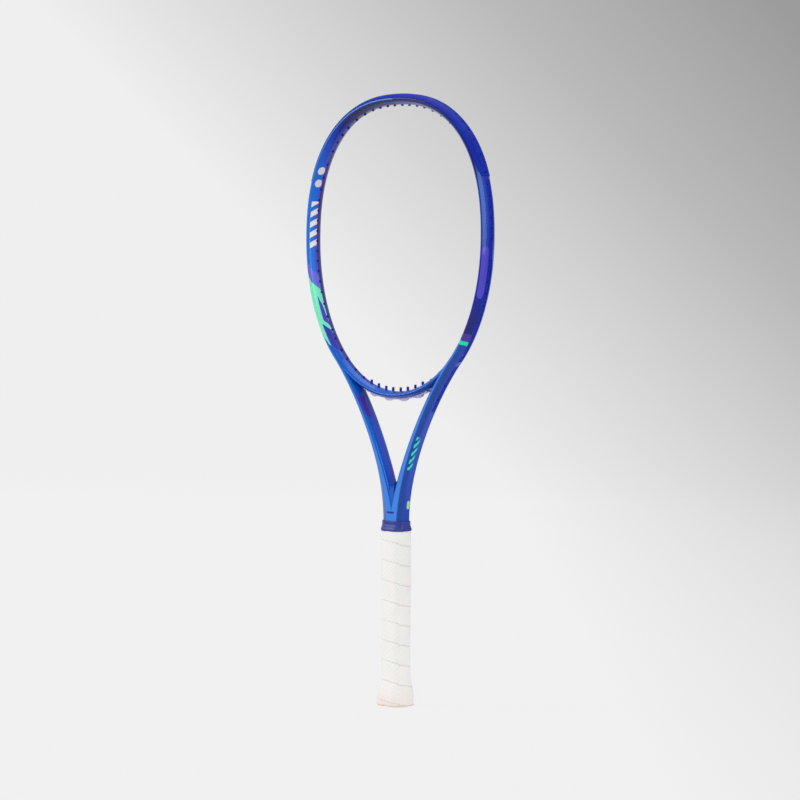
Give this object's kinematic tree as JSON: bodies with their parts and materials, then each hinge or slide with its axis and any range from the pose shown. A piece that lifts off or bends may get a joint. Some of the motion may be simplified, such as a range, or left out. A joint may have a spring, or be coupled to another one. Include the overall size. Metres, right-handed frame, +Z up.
{
  "type": "tennis racket",
  "caption": "Adult tennis racket without strings: oval hollow hoop with grommet strips and head guard, open V throat, octagonal cushioned handle with a sliding rubber collar.",
  "frame": {"origin": "middle of the butt's underside, on the surface that the racket stands on", "axes": "+Z up the shaft to the head, +X across the string face, +Y through the string face to the back"},
  "size_m": [0.265, 0.0358, 0.6858],
  "materials": {
    "frame_paint": "pearl blue lacquer over carbon laminate",
    "handle_foam": "moulded hard foam",
    "cap_plastic": "pale moulded nylon",
    "badge": "blank printed disc",
    "steel_wire": "bright wire",
    "grip_wrap": "white perforated synthetic cushion wrap",
    "tape": "woven adhesive tape",
    "collar_rubber": "smooth soft rubber",
    "grommet_nylon": "dark blue nylon",
    "clear_nylon": "milky translucent nylon"
  },
  "bodies": {
    "racket": {"frame_hairpin": "frame_paint", "throat_bridge": "frame_paint", "pallet_front": "handle_foam", "pallet_back": "handle_foam", "leg_plug_right": "handle_foam", "leg_plug_left": "handle_foam", "butt_cap": "cap_plastic", "butt_badge": "badge", "cap_staples": "steel_wire", "grip_tack": "steel_wire", "base_grip": "grip_wrap", "finishing_tape": "tape", "head_guard": "grommet_nylon", "side_strip_right": "grommet_nylon", "side_strip_left": "grommet_nylon", "shoulder_grommets_right": "grommet_nylon", "shoulder_grommets_left": "grommet_nylon", "throat_strip": "clear_nylon"},
    "collar": {"grip_collar": "collar_rubber"}
  },
  "joints": [
    {"name": "collar_slide", "type": "slide", "parent": "racket", "child": "collar", "axis": [0, 0, 1], "range_m": [0, 0.005]}
  ]
}
